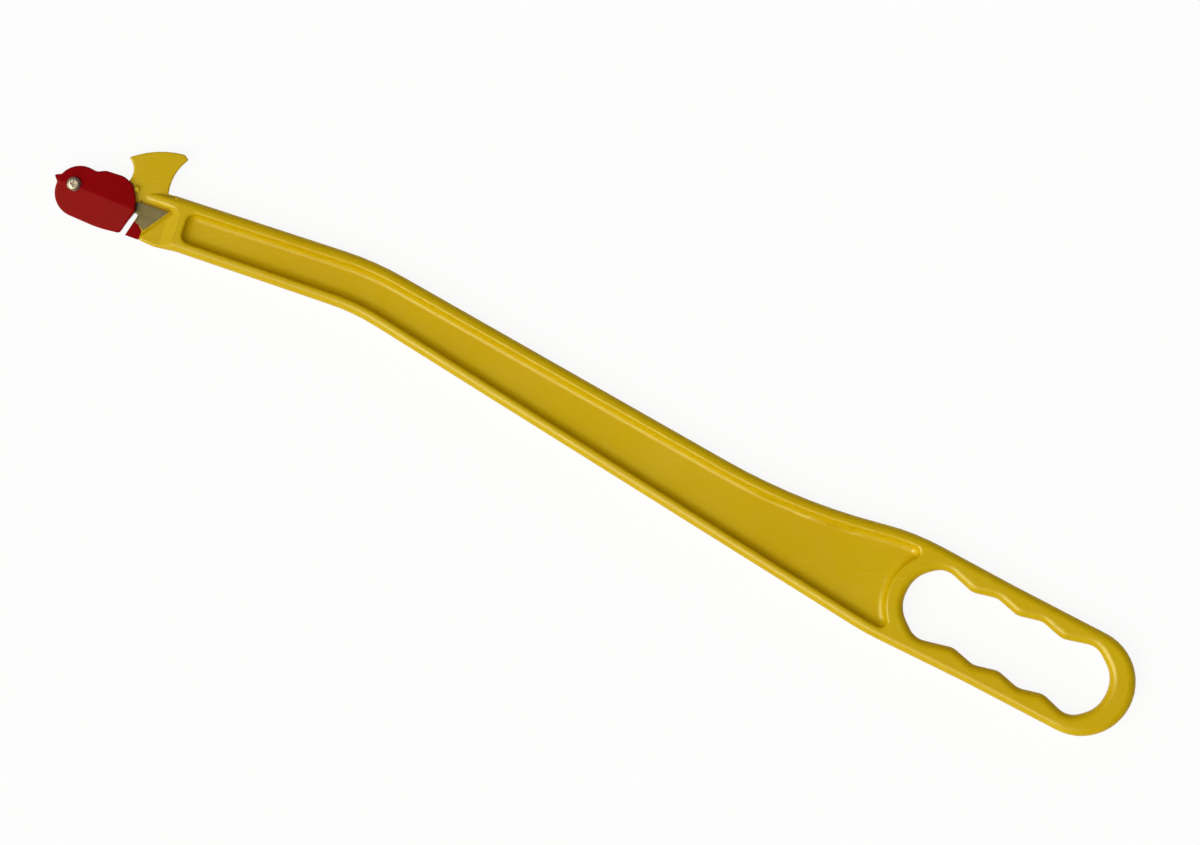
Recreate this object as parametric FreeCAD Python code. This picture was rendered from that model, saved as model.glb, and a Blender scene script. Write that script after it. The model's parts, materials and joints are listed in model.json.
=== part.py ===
# Twine knife for hay bales: a moulded handle with a hand loop at one end and a clamped blade at the other.
# The tool lies on its back. +X runs along the hand loop towards its free end, +Y is the side of the fin,
# and +Z points out of the face that shows the blade. Lengths are in millimetres, angles in degrees.

import FreeCAD, Part
import math
import os

V = FreeCAD.Vector

# Handle, seen from above: the hand loop
loop_end_radius = 27.7
shoulder_past_hole = 9.8
shoulder_flare = 1.25
shoulder_round = 130.0
loop_end_to_waist = 54.0
waist_flare = 0.15
waist_round = 300.0
low_side_inset = 0.45
loop_bar_width = 9.85
hole_end_wall = 13.8
hole_length = 114.1
hole_rise = 0.25
hole_end_flare = 1.7
hole_far_shoulder_shares = (0.83, 0.66)
hole_near_shoulder_shares = (0.67, 0.80)
hole_shoulder_round_share = 0.62
hole_end_corner_share = 0.48
hole_end_round_share = 0.92
finger_count = 3
finger_pitch_share = 0.2261
finger_first_share = 0.248
finger_stagger_share = 0.0386
finger_depth = 3.2
finger_round = 9.0

# Handle, seen from above: the shaft
neck_past_shoulder = 60.7
neck_width = 38.95
neck_round = 325.0
bend_from_loop_end = 416.8
bend_rise = 11.3
bend_width = 28.6
bend_top_round = 160.0
bend_bottom_round = 110.0
front_angle = 8.8
front_width = 27.0
bend_to_pivot = 157.2
pivot_above_centreline = 2.8

# Handle, in section
thickness = 13.0
web_thickness = 3.0
rim_width = 5.9
outer_round = 4.1
hole_round = 4.2
rim_crest_round = 1.5
channel_floor_round = 3.8
channel_corner_round = 4.4
channel_tip_round = 3.0
root_ring_inset = 1.3
root_ring_from_hole = 18.2
root_ring_rise = 0.7
end_rib_width = 6.4

# Head of the handle, measured along the front shaft from the pivot
shaft_front = 50.6
rib_from_pivot = 54.0
rim_end_root = 58.2
rim_end_inset = 1.2
rim_end_round = 2.3
rim_toe = (35.0, 8.8)
rim_toe_round = 2.5
rim_toe_height = 8.5
rim_heel = 33.6
rim_slope_start = 52.5
deck_height = 10.2
deck_from_pivot = 40.2
head_belly = 0.4
deck_bulge = 0.85
deck_bulge_from_pivot = 48.5
deck_bulge_round = 14.0
pocket_high_side = 3.3
pocket_gap_to_cover = 1.0
back_recess_wall = 3.0
back_recess_depth = 4.6
back_recess_round = 2.5
tongue_bottom = 5.9
nose_round = 11.7
deck_corner_round = 0.8
deck_edge_round = 1.6
deck_ramp_end = 56.4
tongue_step = 6.0
stop_boss = (31.2, 7.7)
stop_boss_radius = 1.3
stop_boss_height = 1.6
stop_boss_round = 0.5

# Fin
fin_thickness = 4.2
fin_round = 0.9
fin_front_horn = (22.3, 21.7)
fin_crown = (34.7, 28.9)
fin_crown_end = (48.7, 32.0)
fin_rear_horn = (51.5, 30.1)
fin_rear_waist = (46.9, 18.8)
fin_rear_foot = (47.2, 10.4)
fin_front_waist = (26.7, 15.6)
fin_front_foot = (24.4, 8.0)
fin_horn_round = 0.7
fin_overlap = 3.0

# Blade
blade_thickness = 0.65
blade_top_edge = 1.5
blade_width = 5.8
blade_front = 6.0
blade_tail = 50.2
blade_tail_angle = 53.6
blade_tail_depth = 12.8
blade_throat = 35.9
blade_throat_low = -8.4
blade_tip_round = 0.4
blade_gullet_round = 1.2
blade_throat_lean = 0.4
blade_bevel = 0.9
blade_edge_land = 0.12
blade_side_gap = 0.15
blade_top_gap = 0.05
pocket_gap = 1.0
pocket_relief_depth = 1.6
pocket_slope_width = 1.3
pocket_slope_depth = 1.3
pocket_tip_round = 0.8
pocket_overrun = 2.0
blade_notch_radius = 1.5
blade_notch_from_pivot = 18.0
peg_gap = 0.15

# Twine slot
slot_closed_end = (35.2, -4.5)
slot_mouth = (31.0, -17.5)
slot_width = 2.1
slot_mouth_width = 3.0
slot_flare = 1.9
slot_flare_rise = 3.0
slot_flare_round = 3.0
slot_end_fill = 0.45

# Front cover
cover_gap = 0.1
cover_ridge_height = 13.3
cover_edge_height = 10.9
cover_ridge_front = (3.6, -0.9)
cover_ridge_back = (33.0, -2.6)
cover_edge_round = 1.0
cover_ridge_round = 3.0
cover_nose_centre = (4.2, -2.3)
cover_nose_radius = 12.7
cover_high_side = 11.6
cover_dip = (9.2, 9.7)
cover_dip_run = 4.2
cover_dip_round = 4.0
cover_shoulder = (23.8, 11.8)
cover_shoulder_round = 9.0
cover_corner = (28.6, 8.9)
cover_shoulder_end_round = 3.0
cover_waist = (32.3, 3.2)
cover_waist_round = 20.0
cover_heel = (33.8, -3.5)
cover_corner_round = 1.2
cover_toe = (29.9, -16.5)
cover_toe_round = 2.2
cover_belly = (18.5, -17.4)
cover_belly_round = 60.0
cover_corner_fill = 0.98
nub_length = 2.8
nub_width = 3.4
nub_angle = 166.0
nub_thickness = 2.2
nub_tip_round = 0.6
nub_overlap = 1.5

# Back cover
lobe_top = (36.4, -8.0)
lobe_side = 40.2
lobe_shoulder = -11.9
back_corner_round = 3.0
back_corner_fill = 0.95
lobe_gap = 0.15
back_edge_round = 1.6

# Screw, washer and lock nut
screw_radius = 1.75
screw_length = 12.7
screw_head_radius = 3.3
screw_head_height = 2.4
screw_head_rim = 0.9
screw_recess_width = 1.1
screw_recess_span = 3.9
screw_recess_depth = 1.3
recess_turn = 20.0
running_gap = 0.08
clear_gap = 0.2
washer_radius = 3.5
washer_thickness = 0.8
washer_edge_round = 0.16
washer_gap = 0.15
spot_level = 12.1
spot_face_gap = 0.35
spot_face_play = 0.06
nut_across_flats = 7.94
nut_height = 4.4
nut_collar_height = 1.3
nut_collar_radius = 3.6
nut_pocket_gap = 0.1
nut_floor = 4.7
collar_lip = 0.2
ring_radius = 2.9
ring_height = 1.0
thread_gap = 0.02

# Closeness within which two positions count as the same, the overlap of joined pieces, and a cut's reach
# past the piece that it cuts
small = 0.02
overlap = 0.5
reach = 1.0

# Levels and points that follow from the sizes above
hole_half_width = loop_end_radius - loop_bar_width
finger_pitch = finger_pitch_share * hole_length
finger_first = finger_first_share * hole_length
finger_stagger = finger_stagger_share * hole_length
web_top = (thickness + web_thickness) / 2.0
blade_seat = web_top
tongue_top = blade_seat + blade_thickness + blade_top_gap
cover_bottom = tongue_top + cover_gap
bend_centre = V(-bend_from_loop_end, bend_rise, 0.0)
front_half = front_width / 2.0
shaft_high_side = front_half - pivot_above_centreline
shaft_low_side = -front_half - pivot_above_centreline
head_low_side = shaft_low_side - head_belly


def head_point(along, across, height=0.0):
    """A point of the head, measured from the pivot along and across the front shaft."""
    turn = math.radians(front_angle)
    along_axis = V(math.cos(turn), math.sin(turn), 0.0)
    across_axis = V(-math.sin(turn), math.cos(turn), 0.0)
    pivot = bend_centre - along_axis * bend_to_pivot + across_axis * pivot_above_centreline
    return pivot + along_axis * along + across_axis * across + V(0.0, 0.0, height)


def rounded_wire(corners):
    """A closed outline of straight sides, with each (point, radius) corner as a tangent arc."""
    spots = []
    count = len(corners)
    for index in range(count):
        point, radius = corners[index]
        before = corners[index - 1][0] - point
        after = corners[(index + 1) % count][0] - point
        before.normalize()
        after.normalize()
        if radius <= 0.0:
            spots.append((point, None, point))
            continue
        half_angle = before.getAngle(after) / 2.0
        reach = radius / math.tan(half_angle)
        bisector = before + after
        bisector.normalize()
        middle = point + bisector * (radius / math.sin(half_angle) - radius)
        spots.append((point + before * reach, middle, point + after * reach))
    edges = []
    for index in range(count):
        start, middle, end = spots[index]
        if middle is not None:
            edges.append(Part.Arc(start, middle, end).toShape())
        following = spots[(index + 1) % count][0]
        if (following - end).Length > 0.001:
            edges.append(Part.LineSegment(end, following).toShape())
    return Part.Wire(edges)


def prism(wire, bottom, top):
    """The solid between two levels inside a flat outline that was drawn at level zero."""
    face = Part.Face(wire)
    face.translate(V(0.0, 0.0, bottom))
    return face.extrude(V(0.0, 0.0, top - bottom))


def head_prism(corners, bottom, top):
    """A prism whose corners are (along, across, radius) from the pivot."""
    placed = [(head_point(along, across), radius) for along, across, radius in corners]
    return prism(rounded_wire(placed), bottom, top)


def disc(centre, radius, bottom, top):
    """An upright cylinder between two levels."""
    return Part.makeCylinder(radius, top - bottom, V(centre.x, centre.y, bottom))


def line_crossing(first, first_way, second, second_way):
    """Where two lines in the plane cross, each given by a point and a direction."""
    spread = first_way.x * second_way.y - first_way.y * second_way.x
    gap = second - first
    along = (gap.x * second_way.y - gap.y * second_way.x) / spread
    return first + first_way * along


def offset_path(points, distance):
    """An open path of straight runs, moved sideways: to the left of its travel where distance is positive."""
    ways = [(points[index + 1] - points[index]).normalize() for index in range(len(points) - 1)]
    sides = [V(-way.y, way.x, 0.0) * distance for way in ways]
    moved = [points[0] + sides[0]]
    for index in range(1, len(points) - 1):
        start = points[index] + sides[index - 1]
        other = points[index] + sides[index]
        moved.append(line_crossing(start, ways[index - 1], other, ways[index]))
    moved.append(points[-1] + sides[-1])
    return moved


def edge_middle(edge):
    """The point half-way along an edge."""
    return edge.valueAt((edge.FirstParameter + edge.LastParameter) / 2.0)


def level_edges(shape, level, keep=lambda point: True):
    """The edges that lie flat at a level and whose middle passes the test."""
    found = []
    for edge in shape.Edges:
        points = [vertex.Point for vertex in edge.Vertexes] + [edge_middle(edge)]
        flat = all(abs(point.z - level) < small for point in points)
        if flat and keep(edge.CenterOfMass):
            found.append(edge)
    return found


def upright_corners(shape, keep=lambda point: True):
    """The upright edges where two walls meet at an angle, and whose middle passes the test."""
    found = []
    for edge in shape.Edges:
        box = edge.BoundBox
        if box.XLength > 0.01 or box.YLength > 0.01 or not keep(edge.CenterOfMass):
            continue
        walls = shape.ancestorsOfType(edge, Part.Face)
        normals = []
        for wall in walls:
            across, along = wall.Surface.parameter(edge.CenterOfMass)
            normals.append(wall.normalAt(across, along))
        if len(normals) == 2 and normals[0].getAngle(normals[1]) > math.radians(5.0):
            found.append(edge)
    return found


def loop_corner(waist):
    """Where the side of the loop beyond its waist would meet a line across the loop's free end."""
    across = abs(waist.y)
    tangent_angle = math.atan2(across, waist.x) - math.acos(loop_end_radius / waist.Length)
    return V(loop_end_radius, math.copysign(loop_end_radius * math.tan(tangent_angle / 2.0), waist.y), 0.0)


# Long edges of the handle, from the head to the hand loop
hole_far_end = loop_end_radius - hole_end_wall
hole_near_end = hole_far_end - hole_length
shoulder_x = hole_near_end - shoulder_past_hole
shoulder_half_width = loop_end_radius + shoulder_flare
waist_half_width = loop_end_radius + waist_flare
neck_x = shoulder_x - neck_past_shoulder
bend_half = bend_width / 2.0
bend_turn = math.radians(front_angle / 2.0)
bend_across = V(-math.sin(bend_turn), math.cos(bend_turn), 0.0)
bend_top = bend_centre + bend_across * bend_half
bend_bottom = bend_centre - bend_across * bend_half
shoulder_top = V(shoulder_x, shoulder_half_width, 0.0)
shoulder_bottom = V(shoulder_x, low_side_inset - shoulder_half_width, 0.0)
waist_top = V(-loop_end_to_waist, waist_half_width, 0.0)
waist_bottom = V(-loop_end_to_waist, low_side_inset - waist_half_width, 0.0)
low_edge_fall = (shoulder_bottom.y - bend_bottom.y) / (shoulder_bottom.x - bend_bottom.x)
neck_bottom_y = bend_bottom.y + low_edge_fall * (neck_x - bend_bottom.x)
neck_top = V(neck_x, neck_bottom_y + neck_width, 0.0)
front_top = head_point(shaft_front, shaft_high_side)
front_bottom = head_point(shaft_front, shaft_low_side)
top_edge = [front_top, bend_top, neck_top, shoulder_top, waist_top]
bottom_edge = [front_bottom, bend_bottom, shoulder_bottom, waist_bottom]

deck_end = rib_from_pivot + end_rib_width

# Hand hole: a round at each end and a row of waves on each bar
crest_half_width = hole_half_width - finger_depth
root_ring_centre = V(hole_near_end + root_ring_from_hole, root_ring_rise, 0.0)
root_ring_radius = shoulder_half_width - root_ring_inset


def handle_outline():
    """The outside of the shaft and the hand loop."""
    corners = [
        (front_bottom, 0.0),
        (bend_bottom, bend_bottom_round),
        (shoulder_bottom, shoulder_round),
        (waist_bottom, waist_round),
        (loop_corner(waist_bottom), loop_end_radius),
        (loop_corner(waist_top), loop_end_radius),
        (waist_top, waist_round),
        (shoulder_top, shoulder_round),
        (neck_top, neck_round),
        (bend_top, bend_top_round),
        (front_top, 0.0),
    ]
    return rounded_wire(corners)


def finger_corners(side, shift):
    """The waves on one bar of the hand loop, from the free end towards the shaft."""
    corners = []
    for index in range(finger_count):
        crest = hole_far_end - finger_first - shift - index * finger_pitch
        corners.append((V(crest, hole_rise + side * crest_half_width, 0.0), finger_round))
        if index < finger_count - 1:
            hollow = crest - finger_pitch / 2.0
            corners.append((V(hollow, hole_rise + side * hole_half_width, 0.0), finger_round))
    return corners


def hole_end_corners(end, inwards, shares):
    """The corners round one end of the hand hole, from its upper shoulder to its lower one."""
    shoulder = hole_half_width + hole_end_flare
    foot = hole_end_corner_share * hole_half_width
    end_round = hole_end_round_share * hole_half_width
    shoulder_turn = hole_shoulder_round_share * hole_half_width
    top, bottom = [end + inwards * share * hole_half_width for share in shares]
    return [
        (V(top, hole_rise + shoulder, 0.0), shoulder_turn),
        (V(end, hole_rise + foot, 0.0), end_round),
        (V(end, hole_rise - foot, 0.0), end_round),
        (V(bottom, hole_rise - shoulder, 0.0), shoulder_turn),
    ]


def hand_hole():
    """The opening for the fingers."""
    corners = hole_end_corners(hole_far_end, -1.0, hole_far_shoulder_shares)[::-1]
    corners += finger_corners(1.0, finger_stagger)
    corners += hole_end_corners(hole_near_end, 1.0, hole_near_shoulder_shares)
    corners += finger_corners(-1.0, 0.0)[::-1]
    return prism(rounded_wire(corners), 0.0, thickness)


def channel(bottom, top, floor):
    """The long hollow between the rims, from the end rib to the rim round the hand hole."""
    high = offset_path(top_edge, -rim_width)
    low = offset_path(bottom_edge, rim_width)
    rib_inside = rib_from_pivot + end_rib_width
    high[0] = head_point(rib_inside, shaft_high_side - rim_width)
    low[0] = head_point(rib_inside, shaft_low_side + rim_width)
    corners = [
        (low[0], 0.0),
        (low[1], bend_bottom_round + rim_width),
        (low[2], shoulder_round - rim_width),
        (low[3], 0.0),
        (high[4], 0.0),
        (high[3], shoulder_round - rim_width),
        (high[2], neck_round + rim_width),
        (high[1], bend_top_round - rim_width),
        (high[0], 0.0),
    ]
    hollow = prism(rounded_wire(corners), bottom, top)
    root = disc(root_ring_centre, root_ring_radius, bottom, top)
    hollow = max(hollow.cut(root).Solids, key=lambda solid: solid.Volume)
    left = upright_corners(hollow, lambda point: point.x < bend_centre.x)
    hollow = hollow.makeFillet(channel_corner_round, left)
    right = upright_corners(hollow, lambda point: point.x > bend_centre.x)
    hollow = hollow.makeFillet(channel_tip_round, right)
    return hollow.makeFillet(channel_floor_round, level_edges(hollow, floor))


def edges_along(shape, level, border):
    """The flat edges at a level that lie on a border drawn at level zero."""
    found = []
    for edge in level_edges(shape, level):
        middle = edge_middle(edge)
        middle.z = 0.0
        if border.distToShape(Part.Vertex(middle))[0] < small:
            found.append(edge)
    return found


def top_border(shape):
    """The outline of the highest flat face, brought down to level zero."""
    highest = max(shape.Faces, key=lambda face: face.CenterOfMass.z)
    border = highest.OuterWire.copy()
    border.translate(V(0.0, 0.0, -highest.CenterOfMass.z))
    return border


def shaft_and_loop():
    """The full-thickness part of the handle, with its channels, its hand hole and its rounded rims."""
    outline = handle_outline()
    front_channel = channel(web_top, thickness + reach, web_top)
    back_channel = channel(-reach, thickness - web_top, thickness - web_top)
    hole = hand_hole()
    body = prism(outline, 0.0, thickness).cut(front_channel).cut(back_channel).cut(hole)
    borders = [
        (outline, outer_round),
        (top_border(hole), hole_round),
        (top_border(front_channel), rim_crest_round),
    ]
    for border, radius in borders:
        for level in (0.0, thickness):
            body = body.makeFillet(radius, edges_along(body, level, border))
    return body.cut(ramp_cut())


def ramp_cut():
    """What the shaft loses so that the deck rises to the end rib in a slope."""
    profile = [
        (shaft_front - reach, deck_height),
        (shaft_front, deck_height),
        (deck_ramp_end, thickness),
        (deck_ramp_end, thickness + reach),
        (shaft_front - reach, thickness + reach),
    ]
    outline = [head_point(along, shaft_low_side - reach, height) for along, height in profile]
    face = Part.Face(Part.makePolygon(outline + outline[:1]))
    return face.extrude(head_point(0.0, pocket_high_side) - head_point(0.0, shaft_low_side - reach))


def fin():
    """The thin plate that stands out of the head, with a horn at each end of its crown."""
    front_horn = head_point(*fin_front_horn)
    crown_end = head_point(*fin_crown_end)
    rear_horn = head_point(*fin_rear_horn)
    rear_foot = head_point(*fin_rear_foot)
    front_foot = head_point(*fin_front_foot)
    inside_rib = head_point(rib_from_pivot + fin_overlap, fin_rear_foot[1])
    under_rib = head_point(rib_from_pivot + fin_overlap, fin_front_foot[1])
    edges = [
        Part.Arc(front_horn, head_point(*fin_crown), crown_end).toShape(),
        Part.LineSegment(crown_end, rear_horn).toShape(),
        Part.Arc(rear_horn, head_point(*fin_rear_waist), rear_foot).toShape(),
        Part.LineSegment(rear_foot, inside_rib).toShape(),
        Part.LineSegment(inside_rib, under_rib).toShape(),
        Part.LineSegment(under_rib, front_foot).toShape(),
        Part.Arc(front_foot, head_point(*fin_front_waist), front_horn).toShape(),
    ]
    low = (thickness - fin_thickness) / 2.0
    high = low + fin_thickness
    plate = prism(Part.Wire(edges), low, high)
    horns = [
        edge for edge in upright_corners(plate)
        if min(near_point(edge, horn) for horn in (front_horn, crown_end, rear_horn)) < small]
    plate = plate.makeFillet(fin_horn_round, horns)
    for level in (low, high):
        rim = level_edges(plate, level, lambda point: across_head(point) > fin_rear_foot[1] + overlap)
        plate = plate.makeFillet(fin_round, rim)
    seat_high = cover_nose_centre[1] + nose_round + lobe_gap
    seat = head_prism(
        [
            (0.0, 0.0, 0.0),
            (lobe_side, 0.0, 0.0),
            (lobe_side, seat_high, back_corner_round),
            (0.0, seat_high, 0.0),
        ],
        -reach, tongue_bottom)
    return plate.cut(seat)


def near_point(edge, point):
    """Distance from an upright edge to a point, seen from above."""
    middle = edge.CenterOfMass
    return math.hypot(middle.x - point.x, middle.y - point.y)


def across_head(point):
    """How far a point lies across the front shaft from the pivot."""
    turn = math.radians(front_angle)
    pivot = head_point(0.0, 0.0)
    return (point.y - pivot.y) * math.cos(turn) - (point.x - pivot.x) * math.sin(turn)


def along_head(point):
    """How far a point lies along the front shaft from the pivot."""
    turn = math.radians(front_angle)
    pivot = head_point(0.0, 0.0)
    return (point.x - pivot.x) * math.cos(turn) + (point.y - pivot.y) * math.sin(turn)


def on_deck_side(point):
    """Whether a point lies on the lower side of the deck, beyond its straight end."""
    return deck_from_pivot + small < along_head(point) < deck_end - small


def deck():
    """The raised floor of the head between the blade pocket and the end rib."""
    corners = [
        (deck_from_pivot, head_low_side, deck_corner_round),
        (deck_bulge_from_pivot, head_low_side - deck_bulge, deck_bulge_round),
        (deck_end, shaft_low_side, 0.0),
        (deck_end, pocket_high_side, 0.0),
        (deck_from_pivot, pocket_high_side, 0.0),
    ]
    block = head_prism(corners, 0.0, deck_height)
    high_line = pocket_high_side - overlap
    for level in (0.0, deck_height):
        sides = level_edges(block, level, on_deck_side)
        low_side = [edge for edge in sides if across_head(edge.CenterOfMass) < high_line]
        block = block.makeFillet(deck_edge_round, low_side)
    recess_corners = [
        (deck_from_pivot + back_recess_wall, shaft_low_side + back_recess_wall, back_recess_round),
        (rib_from_pivot, shaft_low_side + back_recess_wall, back_recess_round),
        (rib_from_pivot, pocket_high_side, back_recess_round),
        (deck_from_pivot + back_recess_wall, pocket_high_side, back_recess_round),
    ]
    return block.cut(head_prism(recess_corners, -reach, back_recess_depth))


def rim_end():
    """The end of the upper rim, which runs on past the end rib and sinks towards the cover."""
    corners = [
        (rim_end_root, pocket_high_side, 0.0),
        (rim_end_root, shaft_high_side - rim_end_inset, 0.0),
        (rim_toe[0], rim_toe[1], rim_toe_round),
        (rim_heel, pocket_high_side, rim_toe_round),
    ]
    block = head_prism(corners, tongue_bottom, thickness).cut(rim_slope())
    crest = []
    for edge in block.Edges:
        middle = edge_middle(edge)
        free = middle.z > tongue_bottom + reach and along_head(middle) < rim_end_root - small
        if free and upright_walls(block, edge) == 1:
            crest.append(edge)
    return block.makeFillet(rim_end_round, crest)


def rim_slope():
    """What the rim's end loses above a curve that falls from the rim's full height to its toe."""
    low_line = pocket_high_side - reach
    middle = (rim_heel + rim_slope_start) / 2.0
    poles = [
        head_point(rim_heel, low_line, rim_toe_height),
        head_point(middle, low_line, rim_toe_height),
        head_point(middle, low_line, thickness),
        head_point(rim_slope_start, low_line, thickness),
    ]
    curve = Part.BezierCurve()
    curve.setPoles(poles)
    corners = [
        head_point(rim_slope_start, low_line, thickness + reach),
        head_point(rim_heel - reach, low_line, thickness + reach),
        head_point(rim_heel - reach, low_line, rim_toe_height),
    ]
    points = [poles[-1]] + corners + [poles[0]]
    edges = [curve.toShape()]
    for index in range(len(points) - 1):
        edges.append(Part.LineSegment(points[index], points[index + 1]).toShape())
    across = head_point(0.0, shaft_high_side + reach) - head_point(0.0, low_line)
    return Part.Face(Part.Wire(edges)).extrude(across)


def tongue():
    """The plate under the blade, from the nose to the end rib."""
    nose = -nose_round + cover_nose_centre[0]
    low = cover_nose_centre[1] - nose_round
    high = cover_nose_centre[1] + nose_round
    corners = [
        (nose, low, cover_corner_fill * nose_round),
        (slot_mouth[0] - tongue_step, shaft_low_side, nose_round),
        (deck_end, shaft_low_side, 0.0),
        (deck_end, high, 0.0),
        (nose, high, cover_corner_fill * nose_round),
    ]
    return head_prism(corners, tongue_bottom, tongue_top)


def blade_floor():
    """What the head loses so that the blade can lie in it: an arm recess and the open tail pocket."""
    low_edge = blade_top_edge - blade_width
    arm = head_prism(
        [
            (blade_front - blade_side_gap, low_edge - blade_side_gap, 0.0),
            (deck_from_pivot, low_edge - blade_side_gap, 0.0),
            (deck_from_pivot, blade_top_edge + blade_side_gap, 0.0),
            (blade_front - blade_side_gap, blade_top_edge + blade_side_gap, 0.0),
        ],
        blade_seat, thickness)
    pocket = head_prism(pocket_corners(), blade_seat, thickness)
    relief = head_prism(
        [
            (cover_heel[0] + pocket_gap_to_cover, blade_top_edge + blade_side_gap, 0.0),
            (blade_tail + pocket_gap, blade_top_edge + blade_side_gap, 0.0),
            (blade_tail + pocket_gap, pocket_high_side, 0.0),
            (cover_heel[0] + pocket_gap_to_cover, pocket_high_side, 0.0),
        ],
        blade_seat - pocket_relief_depth, thickness)
    return arm.fuse([pocket, relief, pocket_slope()])


def pocket_slope():
    """The slope that the deck loses along the slanted side of the pocket."""
    angle = math.radians(blade_tail_angle)
    outwards = (math.sin(angle), -math.cos(angle))
    foot = pocket_corners()[2]
    levels = [
        (0.0, deck_height - pocket_slope_depth),
        (pocket_slope_width, deck_height),
        (pocket_slope_width, deck_height + reach),
        (-reach, deck_height + reach),
        (-reach, deck_height - pocket_slope_depth),
    ]
    outline = []
    for out, height in levels:
        outline.append(head_point(foot[0] + outwards[0] * out, foot[1] + outwards[1] * out, height))
    run = 2.0 * front_width
    ramp = Part.Face(Part.makePolygon(outline + outline[:1])).extrude(
        head_point(math.cos(angle) * run, math.sin(angle) * run) - head_point(0.0, 0.0))
    below_rim = head_prism(
        [
            (0.0, shaft_low_side - front_width, 0.0),
            (rim_end_root, shaft_low_side - front_width, 0.0),
            (rim_end_root, pocket_high_side, 0.0),
            (0.0, pocket_high_side, 0.0),
        ],
        0.0, 2.0 * thickness)
    return ramp.common(below_rim)


def pocket_corners():
    """The open triangle round the blade's tail, as (along, across, radius)."""
    slope = math.tan(math.radians(blade_tail_angle))
    side_gap = pocket_gap / math.sin(math.radians(blade_tail_angle))
    tip = blade_tail + side_gap + (pocket_high_side - blade_top_edge) / slope
    foot = blade_tail + side_gap - (blade_top_edge - shaft_low_side + pocket_overrun) / slope
    return [
        (slot_closed_end[0] - slot_width, pocket_high_side, 0.0),
        (tip, pocket_high_side, pocket_tip_round),
        (foot, shaft_low_side - pocket_overrun, 0.0),
        (slot_closed_end[0] - slot_width, shaft_low_side - pocket_overrun, 0.0),
    ]


def slot_sides():
    """Where the twine slot's sides lie along the head, as (left, right) at its closed end and at its mouth."""
    closed, mouth = slot_closed_end, slot_mouth
    closed_pair = (closed[0] - slot_width / 2.0, closed[0] + slot_width / 2.0)
    mouth_pair = (mouth[0] - slot_mouth_width / 2.0, mouth[0] + slot_mouth_width / 2.0)
    return closed_pair, mouth_pair


def slot(bottom, top):
    """The tapered slot that leads the twine to the blade."""
    closed_pair, mouth_pair = slot_sides()
    round_end = slot_end_fill * slot_width
    corners = [
        (closed_pair[0], slot_closed_end[1] + slot_width / 2.0, round_end),
        (closed_pair[1], slot_closed_end[1] + slot_width / 2.0, round_end),
        (mouth_pair[1], slot_mouth[1], 0.0),
        (mouth_pair[0] - slot_flare, slot_mouth[1], 0.0),
        (mouth_pair[0], slot_mouth[1] + slot_flare_rise, slot_flare_round),
    ]
    return head_prism(corners, bottom, top)


def lobe_corners(gap):
    """The corner to the right of the slot, where the back cover shows beside the handle."""
    return [
        (slot_closed_end[0], lobe_top[1] - gap, 0.0),
        (lobe_top[0], lobe_top[1] - gap, 0.0),
        (lobe_side - gap, lobe_shoulder - gap, 0.0),
        (lobe_side - gap, slot_mouth[1], 0.0),
        (slot_mouth[0], slot_mouth[1], 0.0),
    ]


def handle_body():
    """The one-piece moulding: hand loop, shaft, head, fin and tongue."""
    body = shaft_and_loop().fuse([deck(), rim_end(), tongue(), fin()])
    body = body.cut(blade_floor())
    body = body.cut(slot(-reach, thickness + reach))
    body = body.cut(head_prism(lobe_corners(0.0), -reach, thickness + reach))
    pivot = head_point(0.0, 0.0)
    body = body.cut(disc(pivot, screw_radius + clear_gap, 0.0, thickness))
    peg_place = head_point(blade_notch_from_pivot, blade_top_edge)
    peg = disc(peg_place, blade_notch_radius - peg_gap, blade_seat - overlap, tongue_top)
    boss_top = tongue_top + stop_boss_height
    boss = disc(head_point(*stop_boss), stop_boss_radius, blade_seat, boss_top)
    boss = boss.makeFillet(stop_boss_round, level_edges(boss, boss_top))
    return body.fuse([peg, boss]).removeSplitter()


def blade():
    """The hooked blade: a straight arm under the cover and a pointed tail in the open pocket."""
    slope = math.tan(math.radians(blade_tail_angle))
    low_edge = blade_top_edge - blade_width
    tail_low = blade_top_edge - blade_tail_depth
    corners = [
        (blade_front, blade_top_edge, blade_tip_round),
        (blade_tail, blade_top_edge, blade_tip_round),
        (blade_tail - blade_tail_depth / slope, tail_low, blade_tip_round),
        (blade_throat - blade_throat_lean, blade_throat_low, 0.0),
        (blade_throat, low_edge, blade_gullet_round),
        (blade_front, low_edge, 0.0),
    ]
    face_level = blade_seat + blade_thickness
    plate = head_prism(corners, blade_seat, face_level)
    ground = [edge for edge in level_edges(plate, face_level) if on_blade_edge(edge, low_edge)]
    plate = plate.makeChamfer(blade_thickness - blade_edge_land, blade_bevel, ground)
    notch = disc(head_point(blade_notch_from_pivot, blade_top_edge), blade_notch_radius, 0.0, thickness)
    return plate.cut(notch)


def on_blade_edge(edge, low_edge):
    """Whether an edge of the blade's outline is ground: the arm's lower side and the throat are."""
    middle = edge_middle(edge)
    along = along_head(middle)
    across = across_head(middle)
    on_arm = along < blade_throat and abs(across - low_edge) < blade_gullet_round / 2.0
    in_throat = abs(along - blade_throat) < blade_gullet_round and blade_throat_low < across < low_edge
    return on_arm or in_throat


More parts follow.
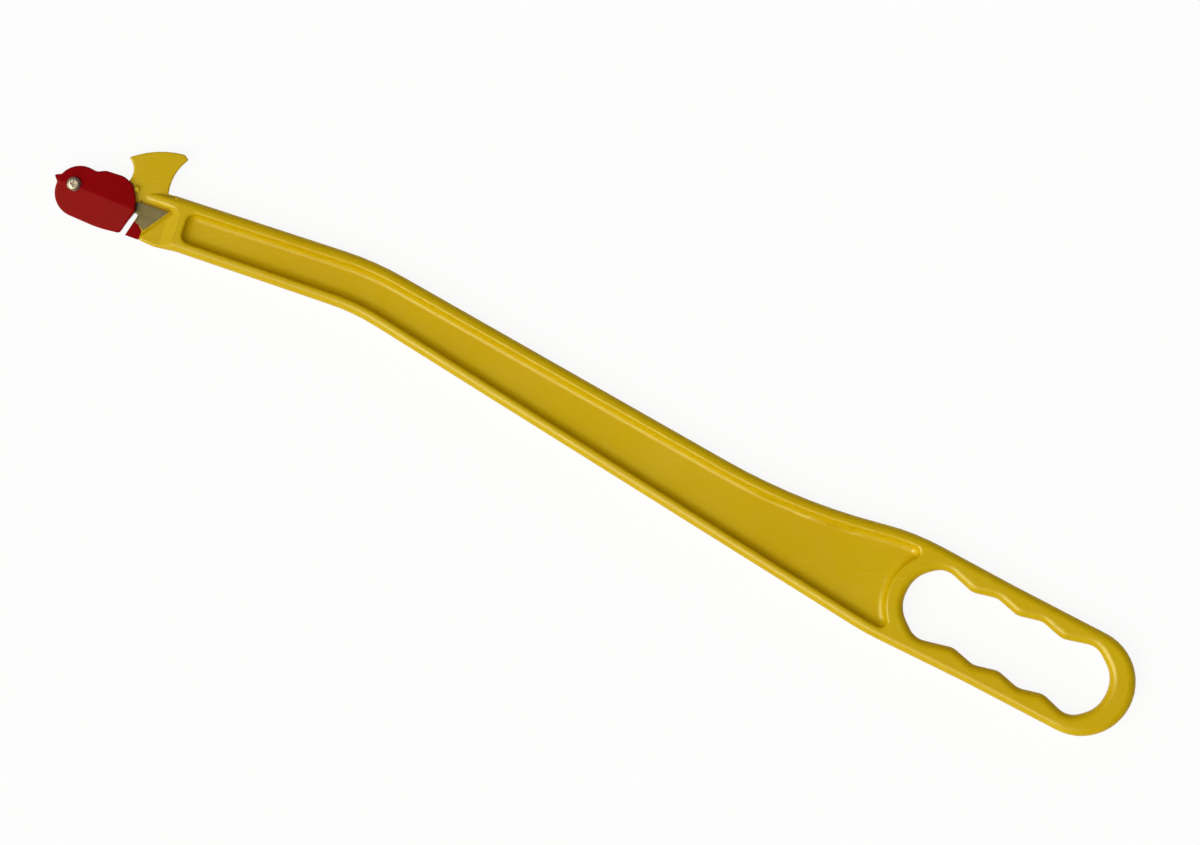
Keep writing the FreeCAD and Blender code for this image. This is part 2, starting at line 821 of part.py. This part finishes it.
def cover_outline():
    """The outside of the front cover, clockwise from the lower side of its nose."""
    nose = cover_nose_centre[0] - cover_nose_radius
    low = cover_nose_centre[1] - cover_nose_radius
    high = cover_nose_centre[1] + cover_nose_radius
    return [
        (nose, low, cover_corner_fill * cover_nose_radius),
        (nose, high, cover_corner_fill * cover_nose_radius),
        (cover_dip[0] - cover_dip_run, high, cover_dip_round),
        (cover_dip[0], cover_dip[1], cover_dip_round),
        (cover_dip[0] + cover_dip_run, cover_high_side, cover_dip_round),
        (cover_shoulder[0], cover_shoulder[1], cover_shoulder_round),
        (cover_corner[0], cover_corner[1], cover_shoulder_end_round),
        (cover_waist[0], cover_waist[1], cover_waist_round),
        (cover_heel[0], cover_heel[1], cover_corner_round),
        (cover_toe[0], cover_toe[1], cover_toe_round),
        (cover_belly[0], cover_belly[1], cover_belly_round),
    ]


def cover_roof():
    """The two sloping faces of the front cover, which meet in a ridge behind the screw."""
    front = head_point(*cover_ridge_front)
    way = (head_point(*cover_ridge_back) - front).normalize()
    side = V(-way.y, way.x, 0.0)
    span = 2.0 * cover_nose_radius
    start = front - way * span
    low = cover_ridge_height - (cover_ridge_height - cover_edge_height) * span / cover_nose_radius
    sections = [
        (0.0, cover_ridge_height),
        (span, low),
        (span, cover_bottom - reach),
        (-span, cover_bottom - reach),
        (-span, low),
    ]
    profile = [start + side * across + V(0.0, 0.0, height) for across, height in sections]
    return Part.Face(Part.makePolygon(profile + profile[:1])).extrude(way * 3.0 * span)


def blade_cover():
    """The clamped front cover over the blade's arm. It swings about the screw."""
    pivot = head_point(0.0, 0.0)
    cover = head_prism(cover_outline(), cover_bottom, cover_ridge_height + reach).common(cover_roof())
    ridge = [edge for edge in cover.Edges if upright_walls(cover, edge) == 0]
    cover = cover.makeFillet(cover_ridge_round, ridge)
    upper = [
        edge for edge in cover.Edges
        if edge_middle(edge).z > cover_bottom + small and upright_walls(cover, edge) == 1]
    cover = cover.makeFillet(cover_edge_round, upper)
    spot = disc(pivot, washer_radius + spot_face_gap, spot_level - spot_face_play, 2.0 * thickness)
    bore = disc(pivot, screw_radius + running_gap, 0.0, 2.0 * thickness)
    nub = head_prism(nub_corners(), cover_bottom, cover_bottom + nub_thickness)
    return cover.fuse(nub).cut(spot).cut(bore).removeSplitter()


def upright_walls(shape, edge):
    """How many of the faces that meet at an edge stand upright."""
    leans = [abs(face_normal(face).z) for face in shape.ancestorsOfType(edge, Part.Face)]
    return sum(lean < small for lean in leans)


def face_normal(face):
    """The normal at the middle of a face's range."""
    low_u, high_u, low_v, high_v = face.ParameterRange
    return face.normalAt((low_u + high_u) / 2.0, (low_v + high_v) / 2.0)


def nub_corners():
    """The small pointed tab on the nose of the front cover."""
    turn = math.radians(nub_angle)
    out = (math.cos(turn), math.sin(turn))
    side = (-out[1], out[0])
    root = cover_nose_radius - nub_overlap
    tip = cover_nose_radius + nub_length
    places = [(root, nub_width, 0.0), (tip, 0.0, nub_tip_round), (root, -nub_width, 0.0)]
    corners = []
    for far, aside, radius in places:
        along = cover_nose_centre[0] + out[0] * far + side[0] * aside
        across = cover_nose_centre[1] + out[1] * far + side[1] * aside
        corners.append((along, across, radius))
    return corners


def back_cover():
    """The fixed cover on the back of the tongue, with the nut pocket and the lobe beside the slot."""
    pivot = head_point(0.0, 0.0)
    nose = cover_nose_centre[0] - cover_nose_radius
    low = cover_nose_centre[1] - cover_nose_radius
    high = cover_nose_centre[1] + nose_round
    corners = [
        (nose, low, back_corner_fill * nose_round),
        (slot_mouth[0] - tongue_step, shaft_low_side, nose_round),
        (lobe_side - lobe_gap, head_low_side, deck_corner_round),
        (lobe_side - lobe_gap, high, back_corner_round),
        (nose, high, back_corner_fill * nose_round),
    ]
    cover = head_prism(corners, 0.0, tongue_bottom)
    cover = cover.makeFillet(back_edge_round, level_edges(cover, 0.0))
    lobe = head_prism(lobe_corners(lobe_gap), tongue_bottom - overlap, blade_seat)
    inside = head_prism(corners, 0.0, thickness)
    cover = cover.fuse(lobe.common(inside)).cut(slot(-reach, thickness))
    cover = cover.cut(hexagon(pivot, nut_across_flats + 2.0 * nut_pocket_gap, -reach, nut_floor))
    return cover.cut(disc(pivot, screw_radius + clear_gap, -reach, thickness)).removeSplitter()


def hexagon(centre, across_flats, bottom, top):
    """A six-sided prism between two levels, with flats along the head."""
    radius = across_flats / 2.0 / math.cos(math.radians(30.0))
    points = []
    for index in range(6):
        turn = math.radians(front_angle + 60.0 * index)
        points.append(V(centre.x + radius * math.cos(turn), centre.y + radius * math.sin(turn), 0.0))
    return prism(Part.makePolygon(points + points[:1]), bottom, top)


def pivot_screw():
    """The pan-head screw that clamps the covers and is the pivot of the front one."""
    pivot = head_point(0.0, 0.0)
    head_level = spot_level + washer_thickness
    top = head_level + screw_head_height
    shank = disc(pivot, screw_radius, head_level - screw_length, head_level + overlap)
    head = disc(pivot, screw_head_radius, head_level, top)
    head = head.makeFillet(screw_head_height - screw_head_rim, level_edges(head, top))
    recess = cross_recess(pivot, top)
    return head.fuse(shank).cut(recess).removeSplitter()


def cross_recess(centre, top):
    """The crossed driving recess in the screw head."""
    half_span = screw_recess_span / 2.0
    half_width = screw_recess_width / 2.0
    bars = []
    for turn in (recess_turn, recess_turn + 90.0):
        bar = Part.makeBox(
            screw_recess_span, screw_recess_width, screw_recess_depth + reach,
            V(-half_span, -half_width, top - screw_recess_depth))
        bar.rotate(V(0.0, 0.0, 0.0), V(0.0, 0.0, 1.0), turn)
        bar.translate(V(centre.x, centre.y, 0.0))
        bars.append(bar)
    return bars[0].fuse(bars[1])


def screw_washer():
    """The flat washer under the screw head."""
    pivot = head_point(0.0, 0.0)
    ring = disc(pivot, washer_radius, spot_level, spot_level + washer_thickness)
    ring = ring.makeFillet(washer_edge_round, level_edges(ring, spot_level + washer_thickness))
    return ring.cut(disc(pivot, screw_radius + washer_gap, 0.0, 2.0 * thickness))


def lock_nut():
    """The hexagon lock nut in the back cover, with its collar outwards."""
    pivot = head_point(0.0, 0.0)
    bottom = nut_floor - nut_height
    shoulder = bottom + nut_collar_height
    ring_low = bottom + collar_lip
    collar = disc(pivot, nut_collar_radius, bottom, shoulder)
    nut = hexagon(pivot, nut_across_flats, shoulder, nut_floor).fuse(collar)
    nut = nut.cut(disc(pivot, screw_radius + thread_gap, -reach, thickness))
    return nut.cut(disc(pivot, ring_radius, ring_low, ring_low + ring_height)).removeSplitter()


def lock_nut_ring():
    """The plastic ring that grips the thread inside the nut's collar."""
    pivot = head_point(0.0, 0.0)
    low = nut_floor - nut_height + collar_lip
    ring = disc(pivot, ring_radius - thread_gap, low + thread_gap, low + ring_height - thread_gap)
    return ring.cut(disc(pivot, screw_radius + thread_gap, 0.0, thickness))


def main():
    """Builds every piece, moves the origin to the middle of the base and writes the files."""
    pieces = {
        "handle_body": handle_body(),
        "blade_cover": blade_cover(),
        "back_cover": back_cover(),
        "blade": blade(),
        "pivot_screw": pivot_screw(),
        "screw_washer": screw_washer(),
        "lock_nut": lock_nut(),
        "lock_nut_ring": lock_nut_ring(),
    }
    box = Part.makeCompound(list(pieces.values())).optimalBoundingBox(False)
    shift = V(-(box.XMin + box.XMax) / 2.0, -(box.YMin + box.YMax) / 2.0, -box.ZMin)
    os.makedirs("parts", exist_ok=True)
    for name, shape in pieces.items():
        solid = shape.copy()
        solid.translate(shift)
        solid.exportStep("parts/" + name + ".step")
        print(name, "valid", solid.isValid(), "solids", len(solid.Solids), "volume", round(solid.Volume, 1))
    pivot = head_point(0.0, 0.0) + shift
    print("size", round(box.XLength, 2), round(box.YLength, 2), round(box.ZLength, 2))
    print("pivot", round(pivot.x, 3), round(pivot.y, 3), "loop centre", round(shift.x, 3), round(shift.y, 3))


main()
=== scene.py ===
# The looks of a twine knife for hay bales: its materials, the studio and the camera.
# Everything is in metres, in the frame of the part: it lies on its back and +Z points out of its face.

import json
import math

import bpy
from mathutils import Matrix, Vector

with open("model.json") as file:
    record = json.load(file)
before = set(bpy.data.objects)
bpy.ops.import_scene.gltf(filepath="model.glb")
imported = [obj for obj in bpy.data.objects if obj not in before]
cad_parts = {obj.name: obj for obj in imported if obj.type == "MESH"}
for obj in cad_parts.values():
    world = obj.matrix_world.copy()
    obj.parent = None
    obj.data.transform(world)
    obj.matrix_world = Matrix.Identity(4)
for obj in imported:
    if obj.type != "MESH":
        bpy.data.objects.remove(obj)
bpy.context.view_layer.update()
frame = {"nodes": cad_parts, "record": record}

MM = 0.001
WHITE = (1.0, 1.0, 1.0)

# Photograph: size in pixels, how far the tool is turned in it, and what its middle shows
PHOTO_WIDTH = 1200
PHOTO_TURN = math.radians(27.3)
PHOTO_SCALE = 0.5098 * MM
PHOTO_MIDDLE = Vector((-0.93 * MM, 4.56 * MM, 6.5 * MM))
CAMERA_LENS = 400.0
CAMERA_SENSOR = 36.0
CAMERA_REACH = 50.0

# Light: a wide soft key from the left of the photograph, a gloss lamp from the same side that only shines on
# polished faces, a small one above the head, and a surround darkest overhead and brightest on the key's side
KEY_BEARING = math.radians(-148.0)
KEY_ELEVATION = math.radians(53.0)
KEY_STRENGTH = 2.1
KEY_SOFTNESS = math.radians(60.0)
KEY_COLOUR = (0.96, 1.0, 0.9)
GLOSS_BEARING = math.radians(-150.0)
GLOSS_ELEVATION = math.radians(46.0)
GLOSS_STRENGTH = 14.0
GLOSS_SOFTNESS = math.radians(50.0)
GLOSS_COLOUR = (0.92, 1.0, 0.6)
GLINT_PLACE = Vector((-0.288, -0.0125, 0.13))
GLINT_SIZE = 0.014
GLINT_POWER = 0.012
ZENITH_STRENGTH = 0.46
LOW_STRENGTH = 0.55
FAR_SIDE_SHARE = 0.42
SURROUND_COLOUR = (1.0, 0.95, 0.88)
HEIGHT_BLEND = (0.1, 0.98)
SIDE_BLEND = (-0.6, 0.7)

# Floor: its place, how far it reaches, how much of it is plain white, and its roughness
FLOOR_DROP = 0.1 * MM
FLOOR_REACH = 20.0
FLOOR_GLOW = 0.92
FLOOR_COLOUR = (0.92, 0.92, 0.92)
FLOOR_ROUGHNESS = 0.9

# Direction of the front shaft
FRONT_TURN = math.radians(8.8)


class Nodes:
    """A short way to write a material's node tree."""

    def __init__(self, name):
        self.material = bpy.data.materials.new(name)
        self.material.use_nodes = True
        self.tree = self.material.node_tree
        self.shader = self.tree.nodes["Principled BSDF"]
        coordinates = self.tree.nodes.new("ShaderNodeTexCoord")
        self.place = coordinates.outputs["Object"]

    def add(self, kind, **inputs):
        """A node with its inputs set or linked. Its own settings are given with a leading underscore."""
        node = self.tree.nodes.new(kind)
        for key, value in inputs.items():
            if key.startswith("_"):
                setattr(node, key[1:], value)
        for key, value in inputs.items():
            if not key.startswith("_"):
                self.feed(node.inputs[key.replace("_", " ")], value)
        return node

    def feed(self, socket, value):
        """Links an output into a socket, or sets the socket's own value."""
        if isinstance(value, bpy.types.NodeSocket):
            self.tree.links.new(value, socket)
        elif isinstance(value, tuple) and len(value) == 3 and len(socket.default_value) == 4:
            socket.default_value = (*value, 1.0)
        else:
            socket.default_value = value

    def math(self, operation, first, second=0.0):
        """One step of arithmetic."""
        node = self.tree.nodes.new("ShaderNodeMath")
        node.operation = operation
        self.feed(node.inputs[0], first)
        self.feed(node.inputs[1], second)
        return node.outputs[0]

    def stretched(self, scale, turn=0.0):
        """The object's coordinates, turned about Z and scaled."""
        turned = self.add("ShaderNodeMapping", Vector=self.place, Rotation=(0.0, 0.0, -turn))
        return self.add("ShaderNodeMapping", Vector=turned.outputs[0], Scale=scale).outputs[0]

    def noise(self, scale, detail=3.0, roughness=0.5, vector=None):
        """A noise pattern from 0 to 1. Scale is in waves to the metre."""
        node = self.add(
            "ShaderNodeTexNoise", Vector=vector or self.place, Scale=scale, Detail=detail, Roughness=roughness)
        return node.outputs["Fac"]

    def ramp(self, value, low, high, start=0.0, end=1.0):
        """Maps low..high to start..end, held at both ends."""
        node = self.tree.nodes.new("ShaderNodeMapRange")
        for key, number in (("From Min", low), ("From Max", high), ("To Min", start), ("To Max", end)):
            node.inputs[key].default_value = number
        self.feed(node.inputs["Value"], value)
        return node.outputs["Result"]

    def mix(self, amount, first, second):
        """A colour between two colours."""
        node = self.tree.nodes.new("ShaderNodeMix")
        node.data_type = "RGBA"
        self.feed(node.inputs["Factor"], amount)
        self.feed(node.inputs[6], first)
        self.feed(node.inputs[7], second)
        return node.outputs[2]

    def bump(self, height, strength, distance, normal=None):
        """A bump of a real depth, on top of another one if there is one."""
        node = self.tree.nodes.new("ShaderNodeBump")
        node.inputs["Strength"].default_value = strength
        node.inputs["Distance"].default_value = distance
        self.feed(node.inputs["Height"], height)
        if normal is not None:
            self.feed(node.inputs["Normal"], normal)
        return node.outputs["Normal"]

    def edges(self, radius):
        """1 on a sharp edge, 0 on a plain face."""
        rounded = self.add("ShaderNodeBevel", _samples=4, Radius=radius)
        plain = self.add("ShaderNodeNewGeometry")
        turn = self.tree.nodes.new("ShaderNodeVectorMath")
        turn.operation = "DOT_PRODUCT"
        self.tree.links.new(rounded.outputs[0], turn.inputs[0])
        self.tree.links.new(plain.outputs["Normal"], turn.inputs[1])
        return self.ramp(turn.outputs["Value"], 0.995, 0.86)

    def scratches(self, scale, turn, width):
        """Thin straight marks that run one way, 1 on a mark."""
        lines = self.noise(scale, detail=2.0, vector=self.stretched((0.035, 1.0, 0.3), turn))
        patches = self.noise(scale * 0.06, detail=1.0)
        mark = self.ramp(lines, 0.5 + width, 0.5 + 2.4 * width)
        return self.math("MULTIPLY", mark, self.ramp(patches, 0.5, 0.62))

    def finish(self, colour, roughness, normal, **fixed):
        """Feeds the shader and returns the material."""
        self.feed(self.shader.inputs["Base Color"], colour)
        self.feed(self.shader.inputs["Roughness"], roughness)
        self.feed(self.shader.inputs["Normal"], normal)
        for key, value in fixed.items():
            self.shader.inputs[key.replace("_", " ")].default_value = value
        return self.material


def moulded_plastic(name, colour, dark, pale, gloss, shine, seam_level):
    """Injection-moulded plastic: slow colour drift, fine grain, rubbed edges, light scuffs and a mould seam."""
    n = Nodes(name)
    drift = n.ramp(n.noise(14.0, detail=2.0), 0.3, 0.7)
    cloud = n.ramp(n.noise(90.0, detail=4.0, roughness=0.6), 0.35, 0.7)
    shade = n.mix(n.math("MULTIPLY", drift, 0.5), colour, dark)
    shade = n.mix(n.math("MULTIPLY", cloud, 0.22), shade, dark)
    rubbed = n.math("MULTIPLY", n.edges(0.5 * MM), n.ramp(n.noise(260.0, detail=5.0), 0.35, 0.65))
    shade = n.mix(n.math("MULTIPLY", rubbed, 0.45), shade, pale)
    marks = n.math("MAXIMUM", n.scratches(900.0, 0.5, 0.075), n.scratches(1300.0, -0.35, 0.08))
    shade = n.mix(n.math("MULTIPLY", marks, 0.2), shade, pale)
    dull = n.ramp(n.noise(45.0, detail=5.0, roughness=0.65), 0.3, 0.75, gloss - 0.06, gloss + 0.1)
    dull = n.math("ADD", dull, n.math("MULTIPLY", marks, 0.15))
    dull = n.math("ADD", dull, n.math("MULTIPLY", rubbed, 0.12))
    waves = n.bump(n.noise(60.0, detail=2.0), 0.12, 0.25 * MM)
    grain = n.bump(n.noise(2600.0, detail=2.0), 0.12, 0.03 * MM, waves)
    scored = n.bump(marks, -0.25, 0.03 * MM, grain)
    level = n.add("ShaderNodeSeparateXYZ", Vector=n.place).outputs["Z"]
    seam = n.ramp(n.math("ABSOLUTE", n.math("SUBTRACT", level, seam_level)), 0.06 * MM, 0.2 * MM, 1.0, 0.0)
    seamed = n.bump(seam, 0.6, 0.08 * MM, scored)
    return n.finish(shade, dull, seamed, Specular_IOR_Level=shine)


def blade_steel():
    """Rolled carbon steel, dulled by an oil film, with fine lines along the blade whose lighter streaks are a
    painted highlight.
    """
    n = Nodes("blade_steel")
    along = n.noise(1500.0, detail=3.0, vector=n.stretched((0.02, 1.0, 1.0), FRONT_TURN))
    film = n.ramp(n.noise(110.0, detail=5.0, roughness=0.62), 0.35, 0.68)
    shade = n.mix(film, (0.078, 0.058, 0.036), (0.055, 0.04, 0.022))
    # Lighter streaks along the blade: real rolling lines, coloured lighter as a painted highlight.
    shade = n.mix(n.ramp(along, 0.4, 0.75, 0.0, 0.45), shade, (0.105, 0.082, 0.056))
    specks = n.ramp(n.noise(900.0, detail=4.0, roughness=0.7), 0.66, 0.74)
    shade = n.mix(n.math("MULTIPLY", specks, 0.6), shade, (0.12, 0.07, 0.035))
    dull = n.ramp(along, 0.3, 0.7, 0.36, 0.5)
    dull = n.math("ADD", dull, n.math("MULTIPLY", film, 0.1))
    lines = n.bump(along, 0.25, 0.02 * MM)
    return n.finish(shade, dull, lines, Metallic=1.0)


def plated_steel():
    """Zinc-plated steel, bright but not a mirror, with a faint crystal pattern."""
    n = Nodes("plated_steel")
    cells = n.add("ShaderNodeTexVoronoi", Vector=n.place, Scale=1500.0).outputs["Distance"]
    smut = n.ramp(n.noise(420.0, detail=5.0), 0.4, 0.7)
    shade = n.mix(smut, (0.24, 0.2, 0.19), (0.15, 0.11, 0.1))
    shade = n.mix(n.math("MULTIPLY", n.edges(0.15 * MM), 0.5), shade, (0.36, 0.34, 0.33))
    dull = n.ramp(cells, 0.0, 0.8, 0.36, 0.5)
    return n.finish(shade, dull, n.bump(cells, 0.2, 0.01 * MM), Metallic=1.0)


def nylon():
    """The lock nut's insert."""
    n = Nodes("nylon")
    cloud = n.ramp(n.noise(500.0, detail=3.0), 0.35, 0.65)
    shade = n.mix(cloud, (0.16, 0.28, 0.55), (0.11, 0.2, 0.42))
    dull = n.ramp(cloud, 0.0, 1.0, 0.5, 0.62)
    return n.finish(shade, dull, n.bump(n.noise(3000.0), 0.2, 0.02 * MM))


MATERIALS = {
    "yellow_plastic": moulded_plastic(
        "yellow_plastic", colour=(0.64, 0.43, 0.0012), dark=(0.61, 0.37, 0.0008), pale=(0.72, 0.56, 0.015),
        gloss=0.27, shine=0.1, seam_level=6.5 * MM),
    "red_plastic": moulded_plastic(
        "red_plastic", colour=(0.31, 0.003, 0.005), dark=(0.24, 0.002, 0.003), pale=(0.4, 0.02, 0.03),
        gloss=0.24, shine=0.012, seam_level=9.3 * MM),
    "blade_steel": blade_steel(),
    "plated_steel": plated_steel(),
    "nylon": nylon(),
}


def dress_nodes():
    """Gives every CAD node the material of its slot."""
    for subpart in frame["record"]["subparts"]:
        node = frame["nodes"][subpart["node"]]
        node.data.materials.clear()
        node.data.materials.append(MATERIALS[subpart["material_slot"]])


def floor():
    """The pale floor. It looks white to the camera and in reflections, and keeps a soft shadow."""
    mesh = bpy.data.meshes.new("floor")
    reach = FLOOR_REACH
    corners = [(-reach, -reach, 0.0), (reach, -reach, 0.0), (reach, reach, 0.0), (-reach, reach, 0.0)]
    mesh.from_pydata(corners, [], [(0, 1, 2, 3)])
    plane = bpy.data.objects.new("floor", mesh)
    plane.location = (0.0, 0.0, -FLOOR_DROP)
    bpy.context.scene.collection.objects.link(plane)
    n = Nodes("floor")
    n.feed(n.shader.inputs["Base Color"], FLOOR_COLOUR)
    n.shader.inputs["Roughness"].default_value = FLOOR_ROUGHNESS
    n.shader.inputs["Specular IOR Level"].default_value = 0.0
    glow = n.add("ShaderNodeEmission", Color=WHITE, Strength=1.0)
    path = n.add("ShaderNodeLightPath")
    seen = n.math("MAXIMUM", path.outputs["Is Camera Ray"], path.outputs["Is Glossy Ray"])
    seen = n.math("MAXIMUM", seen, path.outputs["Is Transmission Ray"])
    amount = n.math("MULTIPLY", seen, FLOOR_GLOW)
    blend = n.add("ShaderNodeMixShader")
    n.feed(blend.inputs[0], amount)
    n.feed(blend.inputs[1], n.shader.outputs[0])
    n.feed(blend.inputs[2], glow.outputs[0])
    n.feed(n.tree.nodes["Material Output"].inputs["Surface"], blend.outputs[0])
    mesh.materials.append(n.material)


def photo_way(bearing):
    """A level direction, given by its bearing in the photograph: 0 is right and 90 is up."""
    return Vector((math.cos(bearing + PHOTO_TURN), math.sin(bearing + PHOTO_TURN), 0.0))


def surround(towards):
    """A surround whose strength depends on the direction: dark overhead, brighter low down towards the key."""
    world = bpy.data.worlds.new("surround")
    world.use_nodes = True
    tree = world.node_tree
    background = tree.nodes["Background"]
    background.inputs["Color"].default_value = (*SURROUND_COLOUR, 1.0)
    place = tree.nodes.new("ShaderNodeTexCoord").outputs["Generated"]

    def dot(direction, blend, start, end):
        product = tree.nodes.new("ShaderNodeVectorMath")
        product.operation = "DOT_PRODUCT"
        product.inputs[1].default_value = direction
        tree.links.new(place, product.inputs[0])
        ramp = tree.nodes.new("ShaderNodeMapRange")
        ramp.interpolation_type = "SMOOTHSTEP"
        limits = (("From Min", blend[0]), ("From Max", blend[1]), ("To Min", start), ("To Max", end))
        for key, number in limits:
            ramp.inputs[key].default_value = number
        tree.links.new(product.outputs["Value"], ramp.inputs["Value"])
        return ramp.outputs["Result"]

    height = dot((0.0, 0.0, 1.0), HEIGHT_BLEND, LOW_STRENGTH, ZENITH_STRENGTH)
    side = dot(towards, SIDE_BLEND, FAR_SIDE_SHARE, 1.0)
    strength = tree.nodes.new("ShaderNodeMath")
    strength.operation = "MULTIPLY"
    tree.links.new(height, strength.inputs[0])
    tree.links.new(side, strength.inputs[1])
    tree.links.new(strength.outputs[0], background.inputs["Strength"])
    bpy.context.scene.world = world


def sun(name, bearing, elevation, strength, softness, colour):
    """A lamp so far away that it lights the whole tool alike."""
    lamp = bpy.data.lights.new(name, "SUN")
    lamp.energy = strength
    lamp.angle = softness
    lamp.color = colour
    towards = photo_way(bearing) * math.cos(elevation) + Vector((0.0, 0.0, math.sin(elevation)))
    holder = bpy.data.objects.new(name, lamp)
    holder.rotation_euler = towards.to_track_quat("Z", "Y").to_euler()
    bpy.context.scene.collection.objects.link(holder)
    return holder


def light():
    """The key, the two gloss lamps and the surround."""
    key = sun("key", KEY_BEARING, KEY_ELEVATION, KEY_STRENGTH, KEY_SOFTNESS, KEY_COLOUR)
    key.visible_glossy = False
    gloss = sun("gloss", GLOSS_BEARING, GLOSS_ELEVATION, GLOSS_STRENGTH, GLOSS_SOFTNESS, GLOSS_COLOUR)
    gloss.visible_diffuse = False
    lamp = bpy.data.lights.new("glint", "AREA")
    lamp.shape = "DISK"
    lamp.size = GLINT_SIZE
    lamp.energy = GLINT_POWER
    glint = bpy.data.objects.new("glint", lamp)
    glint.location = GLINT_PLACE
    glint.visible_diffuse = False
    bpy.context.scene.collection.objects.link(glint)
    surround(photo_way(KEY_BEARING))


def camera():
    """Straight above the tool, turned as the photograph is."""
    lens = bpy.data.cameras.new("camera")
    lens.lens = CAMERA_LENS
    lens.sensor_width = CAMERA_SENSOR
    lens.clip_end = CAMERA_REACH
    view = bpy.data.objects.new("camera", lens)
    height = PHOTO_WIDTH * PHOTO_SCALE * CAMERA_LENS / CAMERA_SENSOR
    view.location = PHOTO_MIDDLE + Vector((0.0, 0.0, height))
    view.rotation_euler = (0.0, 0.0, PHOTO_TURN)
    bpy.context.scene.collection.objects.link(view)
    bpy.context.scene.camera = view


dress_nodes()
floor()
light()
camera()
bpy.context.scene.view_settings.view_transform = "Standard"
